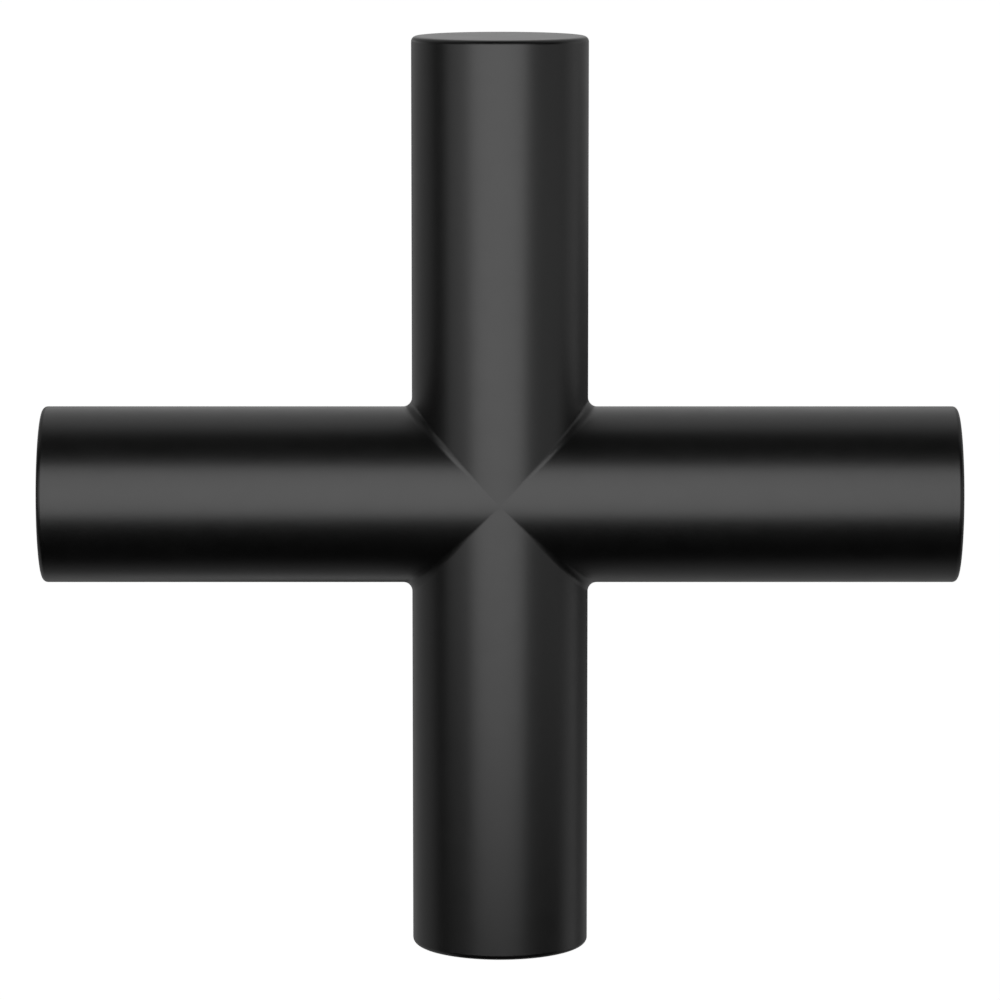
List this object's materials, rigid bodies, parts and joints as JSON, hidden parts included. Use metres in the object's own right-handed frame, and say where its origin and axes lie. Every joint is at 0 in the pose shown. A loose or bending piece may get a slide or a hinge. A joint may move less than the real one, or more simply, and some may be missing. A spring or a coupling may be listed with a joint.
{
  "type": "cross-head tap handle",
  "caption": "Satin-black cross-head tap handle: equal round arms with closed ends, filleted together, on a slim stem whose spindle turns a quarter turn between stops to work a valve.",
  "frame": {"origin": "centre of the stem's seat, the plane where the fixed stem meets the tap body, on the turning axis", "axes": "+Y along the turning axis, from the cross into the tap body; +Z and +X along two of the arms at rest"},
  "size_m": [0.065, 0.0579, 0.065],
  "materials": {
    "satin_black": "satin black powder coat on brass",
    "brass": "turned",
    "stainless_steel": "bright",
    "acetal": "natural acetal",
    "nitrile_rubber": "moulded"
  },
  "bodies": {
    "stem": {"stem_sleeve": "satin_black", "stem_barrel": "brass", "seat_seal": "nitrile_rubber", "rear_bush": "acetal", "wave_washer": "stainless_steel", "rear_thrust_washer": "acetal", "front_thrust_washer": "acetal", "front_bush": "acetal", "stop_ring": "brass", "retaining_ring": "stainless_steel", "glide_ring": "acetal"},
    "handle": {"cross_grip": "satin_black", "set_screw": "stainless_steel", "screw_plug": "nitrile_rubber", "spindle": "brass", "front_spindle_seal": "nitrile_rubber", "rear_spindle_seal": "nitrile_rubber", "stop_pin": "stainless_steel", "drive_coupling": "brass", "coupling_pin": "stainless_steel"}
  },
  "joints": [
    {"name": "handle_turn", "type": "hinge", "parent": "stem", "child": "handle", "pos_m": [0, 0, 0], "axis": [0, -1, 0], "range_deg": [0, 90]}
  ]
}
